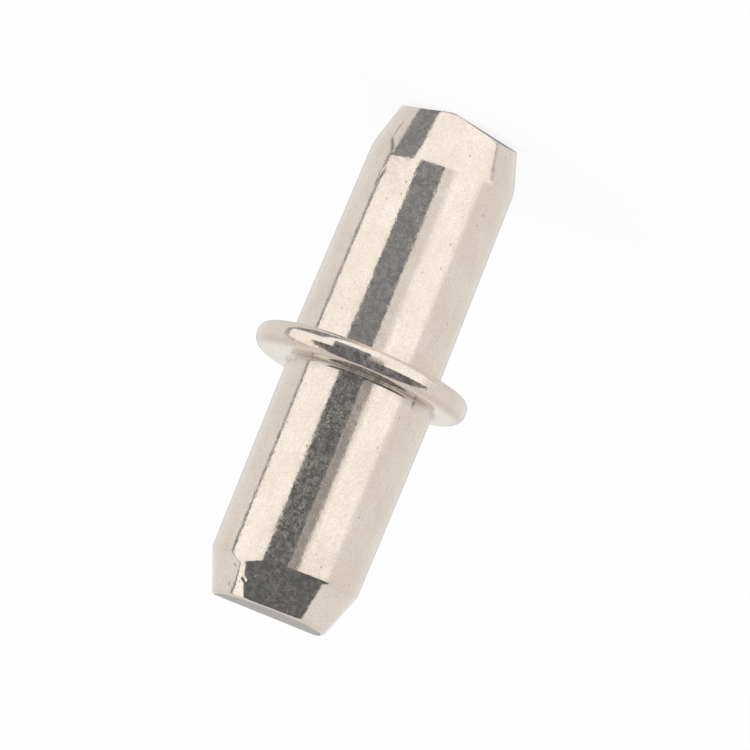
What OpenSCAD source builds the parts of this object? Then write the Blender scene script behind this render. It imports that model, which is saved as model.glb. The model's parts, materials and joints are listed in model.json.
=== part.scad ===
// Shelf support pin: a headed steel pin with a collar between two pegs.
// One peg goes into the drilled hole in a cabinet side, the collar stops it there,
// and the shelf rests on the other peg. It stands here on its cabinet end.
// Both ends were nipped off the wire, which left shallow slopes on them.

/* [Cabinet peg] */
// Diameter of the peg that goes into the cabinet side
cabinet_peg_d = 5; // [4.6:0.1:5.4]
// Length of this peg, from the collar to its end
cabinet_peg_length = 8.25; // [5:0.05:14]
// Length of the tapered nose at its end
cabinet_nose_length = 1.4; // [0.6:0.1:2.5]
// How far the nose draws in at the end, measured on the radius
cabinet_nose_drop = 0.5; // [0.2:0.01:1]
// Radius of the soft bend between this peg and its nose
cabinet_shoulder_r = 1.5; // [0.1:0.1:1.8]
// How far this peg stands off the collar's centre line, towards +X
cabinet_peg_shift = 0.05; // [0:0.01:0.2]
// Steepness in degrees of the two slopes on the front of its end
cabinet_end_slope = 20; // [5:1:25]
// Where on the rim these slopes meet, in degrees from the front towards +X
cabinet_end_meet = 10; // [-30:1:30]

/* [Shelf peg] */
// Diameter of the peg that carries the shelf
shelf_peg_d = 5; // [4.6:0.1:5.4]
// Length of this peg, from the collar to its end
shelf_peg_length = 7.95; // [5:0.05:14]
// Length of the tapered nose at its end
shelf_nose_length = 1.5; // [0.6:0.1:2.5]
// How far the nose draws in at the end, measured on the radius
shelf_nose_drop = 0.6; // [0.2:0.01:1]
// Radius of the bend between this peg and its nose
shelf_shoulder_r = 0.4; // [0.1:0.1:1.8]
// How far this peg stands off the collar's centre line, towards -X
shelf_peg_shift = 0.14; // [0:0.01:0.2]
// Steepness in degrees of the slope on the front half of its end
shelf_front_slope = 1.4; // [0.5:0.1:8]
// Steepness in degrees of the slope on the back half of its end
shelf_back_slope = 6; // [0.5:0.1:10]

/* [Collar] */
// Diameter of the collar
collar_d = 7.2; // [7:0.1:12]
// Thickness of the collar
collar_t = 0.8; // [0.8:0.05:2]
// Radius along the rim on the cabinet side
cabinet_rim_r = 0.3; // [0.1:0.01:0.35]
// Radius along the rim on the shelf side
shelf_rim_r = 0.4; // [0.1:0.01:0.45]

/* [Edges] */
// Radius of the corner between a peg and the collar
root_r = 0.12; // [0.05:0.01:0.35]
// Radius between a nose and the end
tip_r = 0.13; // [0.05:0.01:0.2]

/* [Hidden] */
$fn = 96;

nickel = [0.80, 0.77, 0.71];
collar_r = collar_d / 2;
collar_z = cabinet_peg_length;
cabinet_tip = cabinet_peg_d / 2 - cabinet_nose_drop;
// How deep each peg's stock runs into the collar
root_depth = collar_t / 3;
// How much wider a rounding's circle is than one that only touches the two edges,
// so that it crosses both of them at a slight angle
circle_spread = 1.004;
// How far a rounding's piece reaches past the two edges
piece_spread = 1.4;

up = [0, 1];
down = [0, -1];
outward = [1, 0];
inward = [-1, 0];
// Directions across an end, in degrees from +X
front = -90;
back = 90;

function unit(v) = v / norm(v);
function angle_between(a, b) = acos(unit(a) * unit(b));

// The stock between a corner and an arc of radius r across it, reaching past both edges.
// Taken away, it rounds an outer corner; added, it fills an inner one.
module corner_piece(corner, along_a, along_b, r) {
    half = angle_between(along_a, along_b) / 2;
    centre = corner + unit(unit(along_a) + unit(along_b)) * r / sin(half);
    to_corner = corner - centre;
    touch_a = to_corner + unit(along_a) * r / tan(half);
    touch_b = to_corner + unit(along_b) * r / tan(half);
    translate(centre)
        difference() {
            polygon([[0, 0], touch_a * piece_spread, to_corner * piece_spread, touch_b * piece_spread]);
            circle(r = r * circle_spread);
        }
}

// Half section of a peg: the collar's face is at y = 0 and the end at y = length
module peg_section(d, length, nose_length, nose_drop, shoulder_r) {
    r = d / 2;
    shoulder = [r, length - nose_length];
    tip = [r - nose_drop, length];
    along_nose = tip - shoulder;
    difference() {
        polygon([[0, -root_depth], [r, -root_depth], shoulder, tip, [0, length]]);
        corner_piece(shoulder, down, along_nose, shoulder_r);
        corner_piece(tip, -along_nose, inward, tip_r);
    }
    corner_piece([r, 0], up, outward, root_r);
}

// Stock above a plane that falls away in one direction across an end at height length.
// The fall starts on a straight line that passes the peg's axis at the given distance.
module end_slope(direction, distance, slope, length, reach) {
    rotate([0, 0, direction])
        translate([distance, 0, length])
            rotate([0, slope, 0])
                translate([-reach, -reach, 0])
                    cube([2 * reach, 2 * reach, reach]);
}

module cabinet_peg() {
    // Each slope starts on a chord from the meeting point to one side of the end's rim
    left_half = (90 - cabinet_end_meet) / 2;
    right_half = (90 + cabinet_end_meet) / 2;
    translate([cabinet_peg_shift, 0, collar_z])
        mirror([0, 0, 1])
            difference() {
                rotate_extrude()
                    peg_section(cabinet_peg_d, cabinet_peg_length, cabinet_nose_length,
                                cabinet_nose_drop, cabinet_shoulder_r);
                end_slope(front + cabinet_end_meet + left_half, cabinet_tip * cos(left_half),
                          cabinet_end_slope, cabinet_peg_length, cabinet_peg_d);
                end_slope(front + cabinet_end_meet - right_half, cabinet_tip * cos(right_half),
                          cabinet_end_slope, cabinet_peg_length, cabinet_peg_d);
            }
}

module shelf_peg() {
    translate([-shelf_peg_shift, 0, collar_z + collar_t])
        difference() {
            rotate_extrude()
                peg_section(shelf_peg_d, shelf_peg_length, shelf_nose_length,
                            shelf_nose_drop, shelf_shoulder_r);
            end_slope(front, 0, shelf_front_slope, shelf_peg_length, shelf_peg_d);
            end_slope(back, 0, shelf_back_slope, shelf_peg_length, shelf_peg_d);
        }
}

module collar() {
    translate([0, 0, collar_z])
        rotate_extrude()
            difference() {
                square([collar_r, collar_t]);
                corner_piece([collar_r, 0], up, inward, cabinet_rim_r);
                corner_piece([collar_r, collar_t], down, inward, shelf_rim_r);
            }
}

// The whole pin is headed from one piece of wire
module shelf_pin() {
    color(nickel)
        union() {
            cabinet_peg();
            collar();
            shelf_peg();
        }
}

shelf_pin();
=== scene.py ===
"""Shelf support pin: the nickel finish of its one piece, and the studio that it stands in.

Laid out as an add-on. Run as a script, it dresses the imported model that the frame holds.
"""
import json
import math
from collections import namedtuple

import bpy
import numpy as np
from bpy.props import FloatProperty, FloatVectorProperty, IntProperty, PointerProperty
from mathutils import Matrix, Vector, noise


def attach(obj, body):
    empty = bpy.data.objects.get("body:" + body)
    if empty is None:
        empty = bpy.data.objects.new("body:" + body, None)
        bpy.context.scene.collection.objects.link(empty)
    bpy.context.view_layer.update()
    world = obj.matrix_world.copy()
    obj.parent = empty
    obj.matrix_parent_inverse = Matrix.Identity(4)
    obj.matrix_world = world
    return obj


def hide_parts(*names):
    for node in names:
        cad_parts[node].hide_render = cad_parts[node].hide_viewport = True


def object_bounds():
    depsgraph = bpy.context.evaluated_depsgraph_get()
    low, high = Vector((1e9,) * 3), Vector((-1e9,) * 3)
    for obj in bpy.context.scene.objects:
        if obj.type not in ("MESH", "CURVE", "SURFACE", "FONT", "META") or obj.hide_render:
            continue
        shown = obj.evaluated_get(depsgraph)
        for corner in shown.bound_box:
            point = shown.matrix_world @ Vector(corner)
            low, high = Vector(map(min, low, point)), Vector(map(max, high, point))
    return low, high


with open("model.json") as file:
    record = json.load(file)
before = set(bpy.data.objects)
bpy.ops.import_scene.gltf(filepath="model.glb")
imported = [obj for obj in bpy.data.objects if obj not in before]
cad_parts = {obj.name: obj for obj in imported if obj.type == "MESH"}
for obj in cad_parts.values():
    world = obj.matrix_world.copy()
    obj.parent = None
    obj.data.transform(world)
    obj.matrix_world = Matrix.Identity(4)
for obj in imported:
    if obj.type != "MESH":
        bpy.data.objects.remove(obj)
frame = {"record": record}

bl_info = {
    "name": "Shelf support pin",
    "version": (1, 0, 0),
    "blender": (4, 5, 0),
    "location": "View3D > Sidebar > Shelf pin",
    "description": "Makes a nickel-plated shelf support pin and a white studio round it",
    "category": "Object",
}

CAD_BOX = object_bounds()
NODE = "shelf_pin"
MOUNTS = {mount["name"]: mount for mount in frame["record"]["mounts"]}
FOOT_Z = CAD_BOX[0].z
TOP_Z = CAD_BOX[1].z
COLLAR_R = (CAD_BOX[1].y - CAD_BOX[0].y) / 2
MM = 0.001  # one millimetre in metres
PLATE_COLOUR = tuple(frame["record"]["materials"][0]["base_color"])


def mount_radius(name):
    return MOUNTS[name]["dims"]["r_mm"] * MM


class PinForm(bpy.types.PropertyGroup):
    """Sizes of the pin's outline that the frame doesn't give, and how even its skin is"""

    cabinet_nose: FloatProperty(
        name="Cabinet nose", description="Length of the lower peg's tapered nose",
        default=1.4 * MM, min=0.5 * MM, max=3 * MM, unit="LENGTH")
    cabinet_drop: FloatProperty(
        name="Cabinet nose drop", description="How far the lower nose draws in, on the radius",
        default=0.5 * MM, min=0.1 * MM, max=1 * MM, unit="LENGTH")
    cabinet_shoulder: FloatProperty(
        name="Cabinet shoulder",
        description="Radius of the bend between the lower peg and its nose",
        default=1.5 * MM, min=0.02 * MM, max=1.8 * MM, unit="LENGTH")
    cabinet_draft: FloatProperty(
        name="Cabinet draft",
        description="How far the lower peg narrows towards its nose, on the radius",
        default=0.08 * MM, min=0, max=0.2 * MM, unit="LENGTH")
    cabinet_slope: FloatProperty(
        name="Cabinet end slope",
        description="Steepness of the two slopes on the front of the foot",
        default=math.radians(20), min=0, max=math.radians(25), subtype="ANGLE")
    cabinet_meet: FloatProperty(
        name="Cabinet end meeting",
        description="Where these slopes meet, from the front towards +X",
        default=math.radians(10), min=math.radians(-30), max=math.radians(30), subtype="ANGLE")
    shelf_nose: FloatProperty(
        name="Shelf nose", description="Length of the upper peg's tapered nose",
        default=1.5 * MM, min=0.5 * MM, max=3 * MM, unit="LENGTH")
    shelf_drop: FloatProperty(
        name="Shelf nose drop", description="How far the upper nose draws in, on the radius",
        default=0.6 * MM, min=0.1 * MM, max=1 * MM, unit="LENGTH")
    shelf_shoulder: FloatProperty(
        name="Shelf shoulder", description="Radius of the bend between the upper peg and its nose",
        default=0.4 * MM, min=0.02 * MM, max=1.8 * MM, unit="LENGTH")
    shelf_draft: FloatProperty(
        name="Shelf draft",
        description="How far the upper peg narrows towards its nose, on the radius",
        default=0.05 * MM, min=0, max=0.2 * MM, unit="LENGTH")
    shelf_front_slope: FloatProperty(
        name="Shelf end front", description="Steepness of the front half of the top",
        default=math.radians(1.4), min=0, max=math.radians(10), subtype="ANGLE")
    shelf_back_slope: FloatProperty(
        name="Shelf end back", description="Steepness of the back half of the top",
        default=math.radians(6), min=0, max=math.radians(10), subtype="ANGLE")
    tip_round: FloatProperty(
        name="Tip rounding", description="Radius between a nose and the end",
        default=0.13 * MM, min=0.02 * MM, max=0.3 * MM, unit="LENGTH")
    root_round: FloatProperty(
        name="Root rounding", description="Radius of the corner between a peg and the collar",
        default=0.12 * MM, min=0.02 * MM, max=0.4 * MM, unit="LENGTH")
    cabinet_rim: FloatProperty(
        name="Lower rim rounding", description="Radius along the collar's rim on the cabinet side",
        default=0.3 * MM, min=0.05 * MM, max=0.35 * MM, unit="LENGTH")
    shelf_rim: FloatProperty(
        name="Upper rim rounding", description="Radius along the collar's rim on the shelf side",
        default=0.4 * MM, min=0.05 * MM, max=0.45 * MM, unit="LENGTH")
    skew: FloatProperty(
        name="Skew",
        description="How far the shoulders rise towards +X, as a share of the distance",
        default=0.045, min=0, max=0.1)
    cabinet_tilt: FloatProperty(
        name="Cabinet tilt",
        description="How far the lower shoulder rises on the front, as a share",
        default=0.14, min=0, max=0.3)
    cabinet_lift: FloatProperty(
        name="Cabinet lift", description="How far the lower shoulder rises where it is battered",
        default=0.15 * MM, min=0, max=0.5 * MM, unit="LENGTH")
    cabinet_lift_turn: FloatProperty(
        name="Cabinet lift turn", description="Where that is, from the front towards -X",
        default=math.radians(-52), min=-math.pi, max=math.pi, subtype="ANGLE")
    shelf_tilt: FloatProperty(
        name="Shelf tilt", description="How far the upper shoulder rises on the front, as a share",
        default=0.06, min=0, max=0.3)
    shelf_lift: FloatProperty(
        name="Shelf lift", description="How far the upper shoulder rises where it is battered",
        default=0.24 * MM, min=0, max=0.5 * MM, unit="LENGTH")
    shelf_lift_turn: FloatProperty(
        name="Shelf lift turn", description="Where that is, from the front towards -X",
        default=math.radians(-30), min=-math.pi, max=math.pi, subtype="ANGLE")
    columns: IntProperty(
        name="Columns", description="Faces round the pin", default=360, min=48, max=720)
    swell: FloatProperty(
        name="Swell", description="Depth of the slow waves in the drawn and headed surface",
        default=0.006 * MM, min=0, max=0.05 * MM, unit="LENGTH")
    swell_length: FloatProperty(
        name="Swell length", description="Distance from one slow wave to the next",
        default=2.6 * MM, min=0.5 * MM, max=10 * MM, unit="LENGTH")


class NickelFinish(bpy.types.PropertyGroup):
    """Colours and grain of the nickel plate"""

    colour: FloatVectorProperty(
        name="Nickel", description="Colour of the clean plate",
        default=PLATE_COLOUR, size=3, min=0, max=1, subtype="COLOR")
    speck: FloatVectorProperty(
        name="Speck", description="Colour of the small brown specks in the plate",
        default=(0.40, 0.31, 0.25), size=3, min=0, max=1, subtype="COLOR")
    worn: FloatVectorProperty(
        name="Worn edge", description="Colour of the plate where an edge has rubbed",
        default=(0.52, 0.43, 0.36), size=3, min=0, max=1, subtype="COLOR")
    cut: FloatVectorProperty(
        name="Cut end", description="Colour of the dull ends where the wire was nipped off",
        default=(0.31, 0.28, 0.26), size=3, min=0, max=1, subtype="COLOR")
    roughness: FloatProperty(
        name="Roughness", description="Roughness of the clean plate",
        default=0.07, min=0, max=1, subtype="FACTOR")
    grain: FloatProperty(
        name="Grain", description="Size of one grain of the plate",
        default=0.07 * MM, min=0.01 * MM, max=1 * MM, unit="LENGTH")
    grain_depth: FloatProperty(
        name="Grain depth", description="Height of the grain",
        default=0.0008 * MM, min=0, max=0.1 * MM, unit="LENGTH")
    ripple: FloatProperty(
        name="Ripple", description="Size of the ripples in the steel under the plate",
        default=0.17 * MM, min=0.02 * MM, max=2 * MM, unit="LENGTH")
    ripple_depth: FloatProperty(
        name="Ripple depth", description="Height of the ripples",
        default=0.003 * MM, min=0, max=0.1 * MM, unit="LENGTH")
    cut_depth: FloatProperty(
        name="Cut depth", description="Depth of the grooves across the nipped ends",
        default=0.022 * MM, min=0, max=0.1 * MM, unit="LENGTH")
    fleck: FloatProperty(
        name="Fleck", description="Size of the dull flecks in the bright plate",
        default=0.06 * MM, min=0.01 * MM, max=1 * MM, unit="LENGTH")
    dullness: FloatProperty(
        name="Dullness", description="Share of the light that a dull fleck scatters",
        default=0.17, min=0, max=0.5, subtype="FACTOR")


class StudioLight(bpy.types.PropertyGroup):
    """The floor, the lamp, the pale tent that the plate mirrors, and the camera"""

    floor: FloatVectorProperty(
        name="Floor", description="Colour of the floor",
        default=(0.97, 0.97, 0.97), size=3, min=0, max=1, subtype="COLOR")
    floor_white: FloatProperty(
        name="Floor white", description="How far the floor that the camera sees is lifted to white",
        default=0.88, min=0, max=1, subtype="FACTOR")
    sky: FloatProperty(
        name="Sky", description="Strength of the even light from all round",
        default=0.75, min=0, max=5)
    lamp: FloatProperty(
        name="Lamp", description="Strength of the one soft lamp",
        default=0.9, min=0, max=10)
    tent_radius: FloatProperty(
        name="Tent radius", description="Distance from the pin to the tent's wall",
        default=60 * MM, min=20 * MM, max=1, unit="LENGTH")
    tent_level: FloatProperty(
        name="Tent level", description="Brightness of the tent's plain wall",
        default=0.95, min=0, max=2)
    tent_back: FloatProperty(
        name="Tent back",
        description="Brightness of the tent's wall behind the pin, up to the pin's middle",
        default=0.45, min=0, max=2)
    softbox: FloatProperty(
        name="Softbox", description="Brightness of the two softboxes and of the board below them",
        default=1.3, min=0, max=2)
    gap: FloatVectorProperty(
        name="Gap", description="Colour of the dim room that shows through the tent's gaps",
        default=(0.26, 0.29, 0.33), size=3, min=0, max=1, subtype="COLOR")
    camera_distance: FloatProperty(
        name="Camera distance", description="From the camera to the middle of the pin",
        default=150 * MM, min=50 * MM, max=5, unit="LENGTH")
    camera_height: FloatProperty(
        name="Camera height", description="How far the camera looks down on the pin",
        default=math.radians(8.9), min=0, max=math.pi / 2, subtype="ANGLE")
    camera_roll: FloatProperty(
        name="Camera roll", description="How far the camera is turned about its own line of sight",
        default=math.radians(157.8), min=-math.pi, max=math.pi, subtype="ANGLE")
    camera_right: FloatProperty(
        name="Camera right", description="How far the camera stands to its own right of the pin",
        default=0.393 * MM, min=-5 * MM, max=5 * MM, unit="LENGTH")
    camera_up: FloatProperty(
        name="Camera up",
        description="How far the camera stands above the pin, along its own upright",
        default=-0.168 * MM, min=-5 * MM, max=5 * MM, unit="LENGTH")
    view_width: FloatProperty(
        name="View width", description="Width that the picture covers at the pin",
        default=24.04 * MM, min=1 * MM, max=1, unit="LENGTH")


class Signal:
    """A node's output that can stand in an expression; each operator adds its Math node."""

    def __init__(self, nodes, socket):
        self.nodes = nodes
        self.socket = socket

    def math(self, operation, *values):
        return self.nodes.add("Math", {"operation": operation}, dict(enumerate(values)))

    def __add__(self, other):
        return self.math("ADD", self, other)

    def __sub__(self, other):
        return self.math("SUBTRACT", self, other)

    def __rsub__(self, other):
        return self.math("SUBTRACT", other, self)

    def __mul__(self, other):
        return self.math("MULTIPLY", self, other)

    def __pow__(self, other):
        return self.math("POWER", self, other)

    def __neg__(self):
        return self * -1

    def __abs__(self):
        return self.math("ABSOLUTE", self)

    __radd__ = __add__
    __rmul__ = __mul__

    def output(self, name):
        """Another output of the same node."""
        return Signal(self.nodes, self.socket.node.outputs[name])

    def highest(self, other):
        return self.math("MAXIMUM", self, other)

    def rise(self, low, high):
        """0 below low, 1 above high and a smooth step between; low may be the larger."""
        return self.nodes.add(
            "MapRange", {"interpolation_type": "SMOOTHSTEP"},
            {"Value": self, "From Min": low, "From Max": high})

    def within(self, low, high, soft):
        """1 from low to high, falling smoothly to 0 over the width soft at each end."""
        half = soft / 2
        return self.rise(low - half, low + half) * (1 - self.rise(high - half, high + half))


class Nodes:
    """One node tree, with one method that adds a node of any type."""

    def __init__(self, tree):
        self.tree = tree
        tree.nodes.clear()

    def add(self, kind, settings=None, inputs=None, output=0):
        """A node of the given kind, its settings made first, then its sockets set or linked."""
        node = self.tree.nodes.new("ShaderNode" + kind)
        for name, value in (settings or {}).items():
            setattr(node, name, value)
        for name, value in (inputs or {}).items():
            if isinstance(value, Signal):
                self.tree.links.new(value.socket, node.inputs[name])
            else:
                node.inputs[name].default_value = value
        return Signal(self, node.outputs[output])

    def mixed(self, mask, low, high):
        """The colour low where mask is 0 and high where it is 1."""
        node = self.tree.nodes.new("ShaderNodeMix")
        node.data_type = "RGBA"
        node.clamp_factor = True
        for name, value in (("Factor_Float", mask), ("A_Color", low), ("B_Color", high)):
            socket = next(s for s in node.inputs if s.identifier == name)
            if isinstance(value, Signal):
                self.tree.links.new(value.socket, socket)
            else:
                socket.default_value = value if name == "Factor_Float" else (*value[:3], 1)
        return Signal(self, next(s for s in node.outputs if s.identifier == "Result_Color"))

    def noise(self, place, size, detail=2):
        """Cloudy noise whose patches are about size across, from 0 to 1 and mostly near 0.5."""
        return self.add("TexNoise", {"noise_dimensions": "3D"},
                        {"Vector": place, "Scale": 1 / size, "Detail": detail})

    def squeezed(self, place, factors):
        """The place with each axis times its factor. A small one draws a pattern out along it."""
        return self.add("VectorMath", {"operation": "MULTIPLY"}, {0: place, 1: factors})

    def surface(self, shader, end="Material"):
        """Link the shader to the output of the material or the world."""
        last = self.tree.nodes.new("ShaderNodeOutput" + end)
        self.tree.links.new(shader.socket, last.inputs["Surface"])


def shade(colour, *factors):
    """The colour with its channels multiplied, all by one factor or each by its own."""
    return [channel * factor for channel, factor in zip(colour, factors * 3)]


def new_material(name):
    material = bpy.data.materials.new(name)
    material.use_nodes = True
    return material


# Sizes of the patterns that the finish doesn't give, and the distance between specks
LINE_SIZE = 0.06 * MM
STREAK_SIZE = 0.06 * MM
CLOUD_SIZE = 1.1 * MM
MOTTLE_SIZE = 0.16 * MM
SPECK_SPACING = 0.27 * MM
# How the lines and specks are squeezed along the pin, and the streaks across its ends
LINE_SQUEEZE = (1, 1, 0.06)
SPECK_SQUEEZE = (1, 1, 0.55)
STREAK_SQUEEZE = (0.12, 1, 1)
# Near black: the dirt in the dents, and the darker ring at the shelf peg's root
DIRT_AND_DARKENING_COLOUR = (0.12, 0.10, 0.09)

Patterns = namedtuple(
    "Patterns", "cloud grain ripple fleck mottle lines streaks speck edge dirt cut")


def plate_patterns(nodes, place, finish):
    """The plate's cloudy patterns and its specks, and where the mesh is rubbed or cut, where a
    dent is dirty, and where the shelf peg's root is made darker.
    """
    cells = nodes.add("TexVoronoi", {"feature": "F1"}, {
        "Vector": nodes.squeezed(place, SPECK_SQUEEZE), "Scale": 1 / SPECK_SPACING})
    chance = nodes.add("SeparateColor", {}, {"Color": cells.output("Color")})
    edge, dirt, cut = (nodes.add("Attribute", {"attribute_name": name}, output="Fac")
                       for name in ("edge", "dirt", "cut"))
    return Patterns(
        cloud=nodes.noise(place, CLOUD_SIZE, detail=3),
        grain=nodes.noise(place, finish.grain),
        ripple=nodes.noise(place, finish.ripple),
        fleck=nodes.noise(place, finish.fleck),
        mottle=nodes.noise(place, MOTTLE_SIZE),
        lines=nodes.noise(nodes.squeezed(place, LINE_SQUEEZE), LINE_SIZE, detail=1),
        streaks=nodes.noise(nodes.squeezed(place, STREAK_SQUEEZE), STREAK_SIZE),
        speck=cells.rise(0.14, 0.05) * chance.rise(0.3, 0.7),
        edge=edge, dirt=dirt, cut=cut)


def coarseness(nodes, place, form):
    """How strong the ripples and the dullness are at each height: a little more on the shelf
    peg's shank than on the cabinet peg, and less on the shelf peg's nose."""
    height = nodes.add("SeparateXYZ", {}, {"Vector": place}, output="Z")
    collar_z = MOUNTS["collar_front"]["pos_m"][2]
    shoulder_z = TOP_Z - form.shelf_nose
    on_cabinet_peg, more_on_shelf_peg, less_on_nose = 1.15, 0.25, 0.65
    past_collar = height.rise(collar_z - 5 * MM, collar_z + MM)
    past_shoulder = height.rise(shoulder_z - 0.2 * MM, shoulder_z + 0.1 * MM)
    return past_collar * more_on_shelf_peg + on_cabinet_peg - past_shoulder * less_on_nose


def plate_colour(nodes, pattern, finish):
    """The clean plate in two tones, under its lines, grain, specks, wear, cut ends, the dirt in
    the dents and the darker ring at the shelf peg's root.
    """
    plate = nodes.mixed(pattern.cloud.rise(0.3, 0.7), shade(finish.colour, 1.12),
                        shade(finish.colour, 1.03, 1.0, 0.97))
    rubbed = pattern.edge * (pattern.fleck.rise(0.35, 0.65) * 0.6 + 0.4)
    cut_metal = nodes.mixed(pattern.streaks.rise(0.4, 0.6), shade(finish.cut, 1.2),
                            shade(finish.cut, 0.8))
    # The dirt in the dents and the darker ring at the shelf peg's root, broken up by the clouds
    dirt_and_darkening_mask = pattern.dirt * (pattern.cloud.rise(0.35, 0.6) * 0.8 + 0.2)
    # Where each layer lies, how well it covers what is below it, and its colour
    layers = (
        (pattern.lines.rise(0.4, 0.65), 0.4, shade(finish.colour, 0.95, 0.94, 0.93)),
        (pattern.grain.rise(0.3, 0.7), 0.55, shade(finish.colour, 0.84, 0.82, 0.80)),
        (pattern.speck, 0.7, finish.speck),
        (rubbed, 0.65, finish.worn),
        (pattern.cut, 1, cut_metal),
        (dirt_and_darkening_mask, 1, DIRT_AND_DARKENING_COLOUR),
    )
    for mask, cover, colour in layers:
        plate = nodes.mixed(mask * cover, plate, colour)
    return plate


def plate_relief(pattern, coarse, finish):
    """Height of the plate's surface, in ripple depths: specks are pits, and cut ends grooved."""
    speck_pit = 0.6
    relief = (pattern.ripple * coarse + pattern.grain * (finish.grain_depth / finish.ripple_depth)
              - pattern.speck * speck_pit)
    return relief + pattern.cut * pattern.streaks * (finish.cut_depth / finish.ripple_depth)


def nickel_material(form, finish):
    """Bright nickel over drawn steel: fine uneven ripples, faint lines along the pin, dull
    flecks and mottling, small brown specks, rubbed edges, streaks across the nipped ends,
    dirt in the dents, and a darker ring in the corner at the shelf peg's root."""
    material = new_material("nickel_plate")
    nodes = Nodes(material.node_tree)
    place = nodes.add("TexCoord", output="Object")
    pattern = plate_patterns(nodes, place, finish)
    coarse = coarseness(nodes, place, form)
    bump = nodes.add("Bump", {}, {"Strength": 1.0, "Distance": finish.ripple_depth,
                                  "Height": plate_relief(pattern, coarse, finish)})
    # Flecks, strongest in the clouds, and a softer mottling
    flecks = pattern.fleck.rise(0.4, 0.75) * (pattern.cloud.rise(0.35, 0.65) * 0.9 + 0.3)
    mottling = pattern.mottle.rise(0.4, 0.65) * 0.55
    dull = coarse * (flecks + mottling)
    # Each times the roughness that it adds to the clean plate's
    roughness = (dull * 0.05 + pattern.cloud.rise(0.4, 0.7) * 0.03 + pattern.speck * 0.2
                 + pattern.edge * 0.06 + pattern.cut * 0.25 + finish.roughness)
    nodes.surface(nodes.add("BsdfPrincipled", {}, {
        "Base Color": plate_colour(nodes, pattern, finish),
        "Metallic": 1 - dull * finish.dullness, "Roughness": roughness, "Normal": bump}))
    return material


Corner = namedtuple("Corner", "radius height rounding centre rubbed")


def outline_corners(form):
    """Corners of half a section through the pin, from the foot's centre to the top's.

    Each has its distance from its own centre line, its height, the radius that rounds it,
    where its centre line stands in X, and how much it is rubbed."""
    cabinet_r, shelf_r = mount_radius("cabinet_peg"), mount_radius("shelf_peg")
    cabinet_x, shelf_x = (MOUNTS[name]["pos_m"][0] for name in ("cabinet_peg", "shelf_peg"))
    collar_low, collar_high = (MOUNTS[name]["pos_m"][2] for name in ("collar_stop", "collar_front"))
    return [
        Corner(0, FOOT_Z, 0, cabinet_x, 0),
        Corner(cabinet_r - form.cabinet_drop, FOOT_Z, form.tip_round, cabinet_x, 0.5),
        Corner(cabinet_r - form.cabinet_draft, FOOT_Z + form.cabinet_nose, form.cabinet_shoulder,
               cabinet_x, 0),
        Corner(cabinet_r, collar_low, form.root_round, cabinet_x, 0),
        Corner(COLLAR_R, collar_low, form.cabinet_rim, 0, 0.6),
        Corner(COLLAR_R, collar_high, form.shelf_rim, 0, 1),
        Corner(shelf_r, collar_high, form.root_round, shelf_x, 0),
        Corner(shelf_r - form.shelf_draft, TOP_Z - form.shelf_nose, form.shelf_shoulder,
               shelf_x, 0.3),
        Corner(shelf_r - form.shelf_drop, TOP_Z, form.tip_round, shelf_x, 0.6),
        Corner(0, TOP_Z, 0, shelf_x, 0),
    ]


# Rings of faces along each stretch between two corners, and round each corner
STRETCH_RINGS = (16, 26, 30, 5, 3, 3, 30, 70, 14)
CORNER_RINGS = 8


def add_stretch(points, end, rings):
    """Add evenly spaced points from the outline's last one to the given end."""
    last = Vector(points[-1])
    for step in range(1, rings + 1):
        points.append(tuple(last.lerp(Vector(end), step / rings)))


def rounded_outline(corners):
    """Points along the outline, as rows of distance, height and centre line, with the
    place of each rubbed corner's middle along it and how rubbed it is."""
    first, last = corners[0], corners[-1]
    points, rubbed = [(first.radius, first.height, first.centre)], []
    for rings, before, corner, after in zip(STRETCH_RINGS, corners, corners[1:], corners[2:]):
        middle = Vector((corner.radius, corner.height))
        to_before = (Vector((before.radius, before.height)) - middle).normalized()
        to_after = (Vector((after.radius, after.height)) - middle).normalized()
        half = to_before.angle(to_after) / 2
        touch = corner.rounding / math.tan(half)
        arc_start = middle + to_before * touch
        arc_end = middle + to_after * touch
        arc_centre = middle + (to_before + to_after).normalized() * corner.rounding / math.sin(half)
        add_stretch(points, (*arc_start, corner.centre), rings)
        turn = (arc_start - arc_centre).angle_signed(arc_end - arc_centre)
        for step in range(1, CORNER_RINGS + 1):
            spoke = arc_start - arc_centre
            spoke.rotate(Matrix.Rotation(-turn * step / CORNER_RINGS, 2))
            points.append((*(arc_centre + spoke), corner.centre))
        if corner.rubbed:
            rubbed.append((len(points) - 1 - CORNER_RINGS // 2, corner.rubbed))
    add_stretch(points, (last.radius, last.height, last.centre), STRETCH_RINGS[-1])
    return np.array(points), rubbed


def bell(values, middle, width):
    return np.exp(-((values - middle) / width) ** 2)


def edge_weights(points, rubbed):
    """How rubbed each point of the outline is, falling off on both sides of a corner."""
    steps = np.hypot(np.diff(points[:, 0]), np.diff(points[:, 1]))
    along = np.concatenate([[0], np.cumsum(steps)])
    reach = 0.12 * MM
    return np.max([share * bell(along, along[i], reach) for i, share in rubbed], axis=0)


def cut_weights(points):
    """1 on the two ends, where the wire was nipped off, and 0 elsewhere."""
    near = 0.001 * MM
    return ((points[:, 1] < FOOT_Z + near) | (points[:, 1] > TOP_Z - near)).astype(float)


def on_vertices(values, columns):
    """What the outline's points hold, in the order of the revolved vertices."""
    return np.concatenate([np.repeat(values[1:-1], columns), values[:1], values[-1:]])


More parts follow.
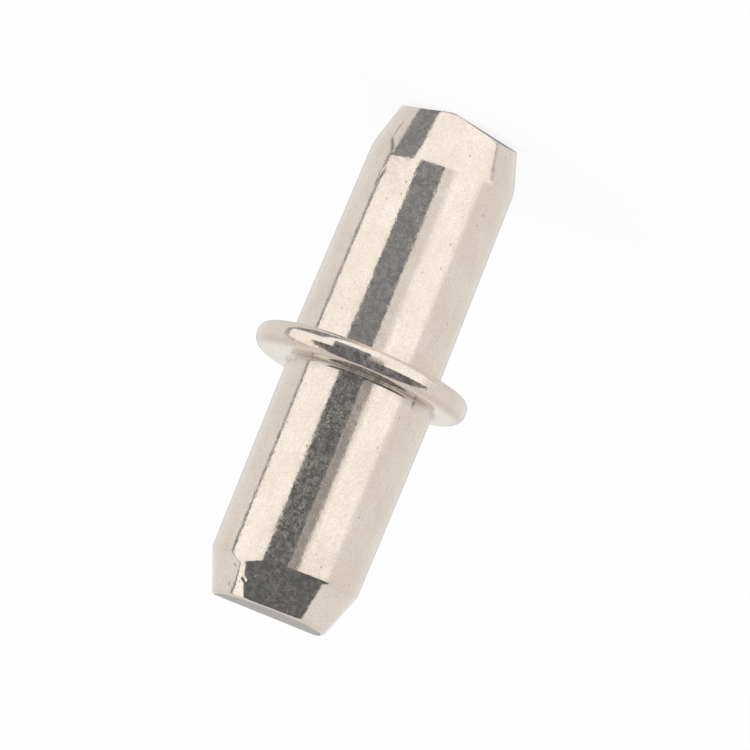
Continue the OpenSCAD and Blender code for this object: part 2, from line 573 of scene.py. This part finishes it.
def revolved(points, columns):
    """Vertices and faces of the outline turned about its centre lines, closed at both ends."""
    rings = points[1:-1]
    turn = np.arange(columns) * 2 * math.pi / columns
    x = rings[:, :1] * np.cos(turn) + rings[:, 2:]
    y = rings[:, :1] * np.sin(turn)
    z = np.repeat(rings[:, 1:2], columns, axis=1)
    body = np.stack([x, y, z], axis=2).reshape(-1, 3)
    foot = (points[0, 2], 0, points[0, 1])
    top = (points[-1, 2], 0, points[-1, 1])
    vertices = np.vstack([body, [foot, top]])
    low = np.arange(columns)
    high = (low + 1) % columns
    faces = []
    for ring in range(len(rings) - 1):
        base = ring * columns
        faces += [(base + a, base + b, base + columns + b, base + columns + a)
                  for a, b in zip(low.tolist(), high.tolist())]
    foot_index, top_index = len(body), len(body) + 1
    base = (len(rings) - 1) * columns
    faces += [(foot_index, b, a) for a, b in zip(low.tolist(), high.tolist())]
    faces += [(top_index, base + a, base + b) for a, b in zip(low.tolist(), high.tolist())]
    return vertices, faces


def turn_of(vertices):
    """How far each vertex lies round the pin, from the front towards -X."""
    return np.arctan2(-vertices[:, 0], -vertices[:, 1])


def skewed(vertices, form):
    """The shoulders as the noses were struck: a little askew, and battered at one spot each.
    What is left of the skew at the top's rim only goes down, so the pin stays in its box."""
    x, y, z = vertices.T
    reach = 3.5 * MM
    cabinet_spot, shelf_spot = math.radians(18), math.radians(12)
    foot_shoulder, top_shoulder = FOOT_Z + form.cabinet_nose, TOP_Z - form.shelf_nose
    near_foot = np.interp(z, [FOOT_Z, foot_shoulder, foot_shoulder + reach], [0, 1, 0])
    near_top = np.interp(z, [top_shoulder - reach, top_shoulder], [0, 1])
    in_top_nose = np.interp(z, [top_shoulder, TOP_Z], [0, 1])
    lowered = in_top_nose * (mount_radius("shelf_peg") - form.shelf_drop)
    turn = turn_of(vertices)
    lift = (near_foot * (form.skew * x + form.cabinet_tilt * np.maximum(-y, 0)
                         + form.cabinet_lift * bell(turn, form.cabinet_lift_turn, cabinet_spot))
            + near_top * (1 - in_top_nose / 2) * form.skew * (x - lowered)
            + near_top * (1 - in_top_nose) * form.shelf_tilt * np.maximum(-y, 0)
            + np.interp(z, [top_shoulder - reach / 2, top_shoulder, TOP_Z], [0, 1, 0])
            * form.shelf_lift * bell(turn, form.shelf_lift_turn, shelf_spot))
    vertices[:, 2] += lift


def sloped_ends(vertices, form):
    """The ends as they were nipped off: two slopes on the front of the foot, and one on
    each half of the top."""
    x, y, z = vertices.T
    foot_x = x - MOUNTS["cabinet_peg"]["pos_m"][0]
    foot_tip = mount_radius("cabinet_peg") - form.cabinet_drop
    for side in (1, -1):
        half = (math.pi / 2 - side * form.cabinet_meet) / 2
        facing = form.cabinet_meet + side * half
        past = foot_x * math.sin(facing) - y * math.cos(facing) - foot_tip * math.cos(half)
        plane = FOOT_Z + past * math.tan(form.cabinet_slope)
        z = np.maximum(z, np.where(z < (FOOT_Z + TOP_Z) / 2, plane, z))
    fall = np.where(y < 0, -y * math.tan(form.shelf_front_slope),
                    y * math.tan(form.shelf_back_slope))
    vertices[:, 2] = np.minimum(z, TOP_Z - fall)


def swelled(vertices, normals, form):
    """The vertices moved in by slow waves, never out past the true form."""
    # Noise runs from -1 to 1, and the depth from 0 to 1
    depth = [0.5 + 0.5 * noise.noise(Vector(v) / form.swell_length) for v in vertices]
    return vertices - normals * (np.array(depth) * form.swell)[:, None]


Nick = namedtuple("Nick", "turn height length width slant depth dirt", defaults=(0,))

# Small dents and scratches: turn from the front towards -X in degrees, height, half length and
# half width in millimetres, slant from level in degrees, depth in millimetres, and how dirty
NICKS = (
    Nick(-46, 16.34, 0.13, 0.045, 10, 0.014),
    Nick(-50, 16.42, 0.10, 0.045, 70, 0.014),
    Nick(-38, 16.02, 0.12, 0.055, 40, 0.013),
    Nick(-27, 16.38, 0.08, 0.045, 20, 0.022),
    Nick(-20, 16.22, 0.11, 0.045, -25, 0.022),
    Nick(-13, 16.10, 0.10, 0.045, -25, 0.022),
    Nick(-43, 16.62, 0.07, 0.04, 80, 0.007, 0.5),
    Nick(47, 9.14, 0.09, 0.05, 20, 0.016, 0.9),
    Nick(47.5, 9.24, 0.12, 0.03, 85, 0.010, 0.7),
    Nick(-55, 1.05, 0.30, 0.04, 95, 0.010, 0.6),
    Nick(-50.5, 1.60, 0.33, 0.05, 48, 0.014, 1.0),
    Nick(-46, 2.54, 0.12, 0.05, 15, 0.014, 0.9),
    Nick(-47.5, 2.76, 0.22, 0.035, 108, 0.010, 0.8),
    Nick(-4, 3.5, 0.07, 0.04, 10, 0.007),
    Nick(-8, 6.7, 0.06, 0.04, 30, 0.007),
)


def nicked(vertices, normals):
    """The vertices with the small dents pressed in, and how dirty each of them is."""
    turn = turn_of(vertices)
    radius = np.hypot(vertices[:, 0], vertices[:, 1])
    depth, dirt = np.zeros(len(vertices)), np.zeros(len(vertices))
    for nick in NICKS:
        slant = math.radians(nick.slant)
        across = (turn - math.radians(nick.turn)) * radius / MM
        along = vertices[:, 2] / MM - nick.height
        lengthwise = (across * math.cos(slant) + along * math.sin(slant)) / nick.length
        sideways = (along * math.cos(slant) - across * math.sin(slant)) / nick.width
        shape = np.exp(-lengthwise ** 4 - sideways ** 2)
        depth += nick.depth * MM * shape
        dirt = np.maximum(dirt, nick.dirt * shape)
    return vertices - normals * depth[:, None], dirt


def root_corner_darkening(vertices, form):
    """How much darker the plate is made in the corner between the shelf peg and the collar."""
    collar_front = MOUNTS["collar_front"]["pos_m"][2]
    radius = np.hypot(vertices[:, 0] - MOUNTS["shelf_peg"]["pos_m"][0], vertices[:, 1])
    off = np.hypot(radius - mount_radius("shelf_peg"), vertices[:, 2] - collar_front)
    # Share of that near black in the middle of the corner, which makes it darker there
    darkest = 0.5
    return darkest * bell(off, 0, form.root_round)


def vertex_normals(mesh):
    normals = np.zeros(len(mesh.vertices) * 3, np.float32)
    mesh.vertices.foreach_get("normal", normals)
    return normals.reshape(-1, 3).astype(float)


def point_attribute(mesh, name, values):
    mesh.attributes.new(name, "FLOAT", "POINT").data.foreach_set("value", values)


def make_pin(form, finish):
    points, rubbed = rounded_outline(outline_corners(form))
    vertices, faces = revolved(points, form.columns)
    skewed(vertices, form)
    sloped_ends(vertices, form)
    mesh = bpy.data.meshes.new("pin")
    mesh.from_pydata(vertices.tolist(), [], faces)
    mesh.update()
    normals = vertex_normals(mesh)
    vertices, dirt = nicked(swelled(vertices, normals, form), normals)
    # The corner between the shelf peg and the collar is made darker in the dents' dirt colour
    dirt = np.maximum(dirt, root_corner_darkening(vertices, form))
    mesh.vertices.foreach_set("co", vertices.astype(np.float32).ravel())
    point_attribute(mesh, "edge", on_vertices(edge_weights(points, rubbed), form.columns))
    point_attribute(mesh, "cut", on_vertices(cut_weights(points), form.columns))
    point_attribute(mesh, "dirt", dirt)
    mesh.polygons.foreach_set("use_smooth", [True] * len(mesh.polygons))
    mesh.set_sharp_from_angle(angle=math.radians(25))
    mesh.update()
    pin = bpy.data.objects.new("pin", mesh)
    bpy.context.scene.collection.objects.link(pin)
    pin.data.materials.append(nickel_material(form, finish))
    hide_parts(NODE)
    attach(pin, "root")


def put_on_stage(name, mesh, material):
    piece = bpy.data.objects.new(name, mesh)
    bpy.context.scene.collection.objects.link(piece)
    mesh.materials.append(material)
    return piece


def disc(name, radius, height, sides=96):
    mesh = bpy.data.meshes.new(name)
    turns = [2 * math.pi * i / sides for i in range(sides)]
    mesh.from_pydata([(radius * math.cos(t), radius * math.sin(t), height) for t in turns],
                     [], [tuple(range(sides))])
    return mesh


def seen_directly(nodes):
    """1 for what the camera sees, also in a mirror or through glass, and 0 for other light."""
    path = nodes.add("LightPath")
    camera, glossy, transmission = (
        path.output(name) for name in ("Is Camera Ray", "Is Glossy Ray", "Is Transmission Ray"))
    return camera.highest(glossy).highest(transmission)


FLOOR_RADIUS = 1.2


def make_floor(studio):
    material = new_material("floor_paper")
    nodes = Nodes(material.node_tree)
    paper = nodes.add("BsdfDiffuse", {}, {"Color": (*studio.floor, 1)})
    white = nodes.add("Emission", {}, {"Color": (1, 1, 1, 1), "Strength": 1.0})
    nodes.surface(nodes.add("MixShader", {}, {0: seen_directly(nodes) * studio.floor_white,
                                              1: paper, 2: white}))
    floor = put_on_stage("floor", disc("floor", FLOOR_RADIUS, FOOT_Z), material)
    floor.visible_glossy = False


Card = namedtuple("Card", "azimuth elevation colour soft", defaults=(2,))


def tent_cards(studio):
    """What stands in the tent, by direction from the pin in degrees: azimuth from the camera's
    side, positive towards -X, and elevation. Each fades out over its soft width at its sides,
    and a later one covers an earlier one."""
    bright = (studio.softbox,) * 3
    gap = tuple(studio.gap)
    plain_grey = (0.38,) * 3
    return {
        "left softbox": Card((-90, -35), (-90, 50), bright, 3),
        "right softbox": Card((20, 65), (-90, 5), bright, 12),
        "frame of the left softbox": Card((-95, -90), (-20, 50), gap, 1.5),
        "board on the floor": Card((-50, 85), (-90, -25), bright, 5),
        "edge of the board": Card((82, 86), (-70, -30), shade(gap, 1.5)),
        "gap below the left softbox": Card((-95, -50), (-90, -20), gap),
        "slit for the camera": Card((-37, 2), (-25, 10), shade(gap, 0.5)),
        "lower part of the slit": Card((-35, 0), (-25, -9), shade(gap, 0.92), 3),
        "right side of the slit": Card((2, 16), (-9, 10), plain_grey, 5),
        "open top": Card((-60, 70), (5, 80), shade(gap, 0.5), 3),
    }


def tent_material(studio):
    """The pale tent, with its cards and a soft shade behind the pin."""
    material = new_material("tent_cloth")
    nodes = Nodes(material.node_tree)
    split = nodes.add("SeparateXYZ", {}, {"Vector": nodes.add("TexCoord", output="Object")})
    x, y, z = (split.output(axis) for axis in "XYZ")
    degrees = 180 / math.pi
    flat = (x * x + y * y) ** 0.5
    azimuth = nodes.add("Math", {"operation": "ARCTAN2"}, {0: -x, 1: -y}) * degrees
    elevation = nodes.add("Math", {"operation": "ARCTAN2"}, {0: z, 1: flat}) * degrees
    colour = (studio.tent_level,) * 3
    for card in tent_cards(studio).values():
        mask = (azimuth.within(*card.azimuth, card.soft)
                * elevation.within(*card.elevation, card.soft))
        colour = nodes.mixed(mask, colour, card.colour)
    shade_sides, shade_top = (150, 178), (-2, 6)
    behind = abs(azimuth).rise(*shade_sides) * (1 - elevation.rise(*shade_top))
    colour = nodes.mixed(behind, colour, (studio.tent_back,) * 3)
    nodes.surface(nodes.add("Emission", {}, {"Color": colour, "Strength": 1.0}))
    material.cycles.emission_sampling = "NONE"
    return material


def make_tent(studio):
    mesh = bpy.data.meshes.new("tent")
    rows, columns = 24, 48
    vertices = [(0, 0, -studio.tent_radius), (0, 0, studio.tent_radius)]
    for row in range(1, rows):
        tilt = math.pi * row / rows - math.pi / 2
        for column in range(columns):
            turn = 2 * math.pi * column / columns
            vertices.append((studio.tent_radius * math.cos(tilt) * math.cos(turn),
                             studio.tent_radius * math.cos(tilt) * math.sin(turn),
                             studio.tent_radius * math.sin(tilt)))
    faces = []
    for column in range(columns):
        after = (column + 1) % columns
        faces.append((0, 2 + after, 2 + column))
        for row in range(rows - 2):
            base = 2 + row * columns
            faces.append((base + column, base + after, base + columns + after,
                          base + columns + column))
        base = 2 + (rows - 2) * columns
        faces.append((1, base + column, base + after))
    mesh.from_pydata(vertices, [], faces)
    tent = put_on_stage("tent", mesh, tent_material(studio))
    tent.location = (0, 0, (FOOT_Z + TOP_Z) / 2)
    tent.visible_camera = False
    tent.visible_diffuse = False
    tent.visible_shadow = False
    tent.visible_transmission = False


def make_light(studio):
    world = bpy.data.worlds.new("studio")
    world.use_nodes = True
    nodes = Nodes(world.node_tree)
    strength = seen_directly(nodes) * (1 - studio.sky) + studio.sky
    background = nodes.add("Background", {}, {"Color": (1, 1, 1, 1), "Strength": strength})
    nodes.surface(background, "World")
    bpy.context.scene.world = world
    lamp = bpy.data.lights.new("soft_lamp", "SUN")
    lamp.energy = studio.lamp
    lamp.angle = math.radians(60)
    sun = bpy.data.objects.new("soft_lamp", lamp)
    sun.rotation_euler = (math.radians(35), math.radians(20), 0)
    sun.visible_glossy = False
    bpy.context.scene.collection.objects.link(sun)


def make_camera(studio):
    data = bpy.data.cameras.new("camera")
    data.sensor_width = 36
    data.lens = data.sensor_width * studio.camera_distance / studio.view_width
    data.clip_start, data.clip_end = 0.01, 20
    camera = bpy.data.objects.new("camera", data)
    bpy.context.scene.collection.objects.link(camera)
    middle = Vector((0, 0, (FOOT_Z + TOP_Z) / 2))
    look = Matrix.Rotation(math.pi / 2 - studio.camera_height, 4, "X")
    roll = Matrix.Rotation(-studio.camera_roll, 4, "Z")
    turned = look @ roll
    offset = turned @ Vector((studio.camera_right, studio.camera_up, studio.camera_distance))
    camera.matrix_world = Matrix.Translation(middle + offset) @ turned
    bpy.context.scene.camera = camera


class SHELFPIN_OT_pin(bpy.types.Operator):
    """Make the pin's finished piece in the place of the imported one"""

    bl_idname = "shelfpin.make_pin"
    bl_label = "Make the pin"

    def execute(self, context):
        make_pin(context.scene.pin_form, context.scene.nickel_finish)
        return {"FINISHED"}


class SHELFPIN_OT_stage(bpy.types.Operator):
    """Make the floor, the tent, the light and the camera"""

    bl_idname = "shelfpin.make_stage"
    bl_label = "Make the stage"

    def execute(self, context):
        studio = context.scene.studio_light
        make_floor(studio)
        make_tent(studio)
        make_light(studio)
        make_camera(studio)
        context.scene.view_settings.view_transform = "Standard"
        return {"FINISHED"}


class SHELFPIN_PT_panel(bpy.types.Panel):
    """The sizes, colours and buttons in the sidebar"""

    bl_idname = "SHELFPIN_PT_panel"
    bl_label = "Shelf support pin"
    bl_space_type = "VIEW_3D"
    bl_region_type = "UI"
    bl_category = "Shelf pin"

    def draw(self, context):
        for group in (context.scene.pin_form, context.scene.nickel_finish,
                      context.scene.studio_light):
            box = self.layout.box()
            for name in group.__annotations__:
                box.prop(group, name)
        self.layout.operator(SHELFPIN_OT_pin.bl_idname)
        self.layout.operator(SHELFPIN_OT_stage.bl_idname)


GROUPS = {"pin_form": PinForm, "nickel_finish": NickelFinish, "studio_light": StudioLight}
CLASSES = (*GROUPS.values(), SHELFPIN_OT_pin, SHELFPIN_OT_stage, SHELFPIN_PT_panel)


def register():
    for cls in CLASSES:
        bpy.utils.register_class(cls)
    for name, cls in GROUPS.items():
        setattr(bpy.types.Scene, name, PointerProperty(type=cls))


def unregister():
    for name in GROUPS:
        delattr(bpy.types.Scene, name)
    for cls in reversed(CLASSES):
        bpy.utils.unregister_class(cls)


def main():
    register()
    bpy.ops.shelfpin.make_stage()
    bpy.ops.shelfpin.make_pin()


if __name__ == "__main__":
    main()
